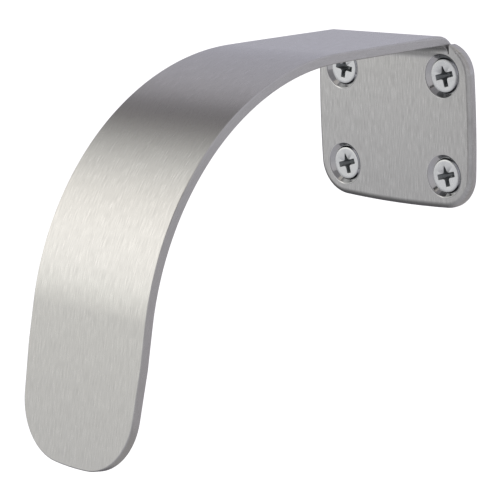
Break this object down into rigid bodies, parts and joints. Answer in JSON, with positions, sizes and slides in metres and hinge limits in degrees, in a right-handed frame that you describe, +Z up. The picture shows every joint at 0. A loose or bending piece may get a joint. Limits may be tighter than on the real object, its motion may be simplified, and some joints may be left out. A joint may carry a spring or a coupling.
{
  "type": "forearm door pull",
  "caption": "Hands-free forearm door pull: one bent satin steel strip, a flat back plate with countersunk screws and an arm that curves out and down.",
  "frame": {"origin": "centre of the screw pattern on the back of the plate, in the plane of the door's face", "axes": "+Z up along the door, -Y out of the door towards the user, +X to the right along the door"},
  "size_m": [0.0774, 0.185, 0.1297],
  "materials": {
    "satin_steel": "satin stainless steel, grain along the strip",
    "zinc_screw": "bright zinc plating"
  },
  "bodies": {
    "root": {"pull_body": "satin_steel", "mounting_screws": "zinc_screw"}
  },
  "joints": []
}
